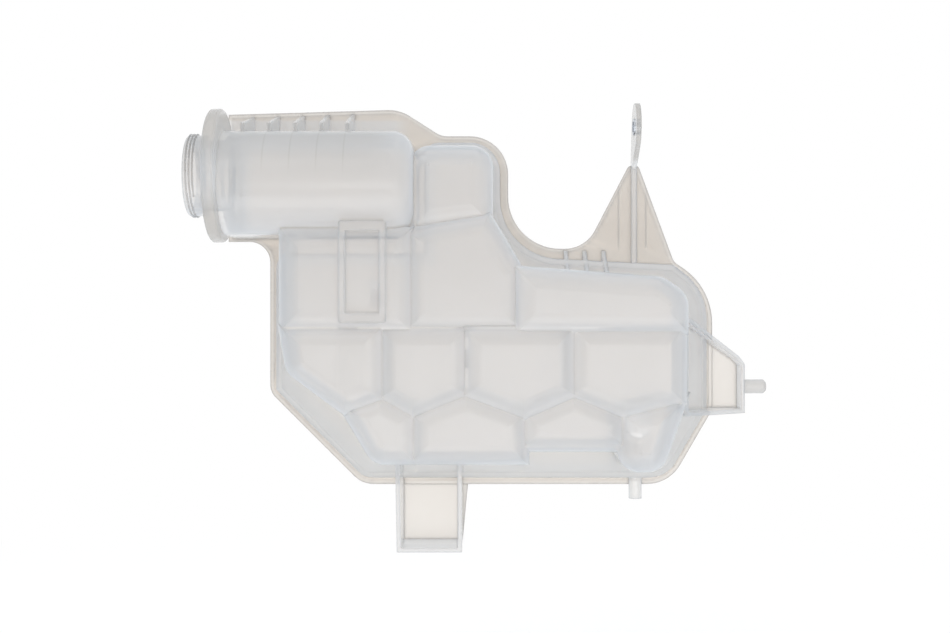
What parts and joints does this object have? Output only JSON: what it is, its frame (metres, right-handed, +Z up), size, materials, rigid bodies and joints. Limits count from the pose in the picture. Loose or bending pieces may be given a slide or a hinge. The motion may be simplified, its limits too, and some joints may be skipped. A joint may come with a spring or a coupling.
{
  "type": "coolant expansion tank",
  "caption": "Welded natural plastic coolant tank with a honeycomb front, a sideways screw filler neck, a bolt ear, a locating pin, a foot bracket and hose spigots behind.",
  "frame": {"origin": "on the axis of the filler neck, 2.8 mm outside its collar", "axes": "+X from the neck into the tank, +Y from the front shell to the rear shell, +Z up"},
  "size_m": [0.3234, 0.1421, 0.2511],
  "materials": {
    "front_shell": "milky translucent natural polypropylene, satin",
    "rear_shell": "milky translucent natural polypropylene, satin",
    "ear_sleeve": "zinc-plated"
  },
  "bodies": {
    "root": {"front_shell": "front_shell", "rear_shell": "rear_shell", "ear_sleeve": "ear_sleeve"}
  },
  "joints": []
}
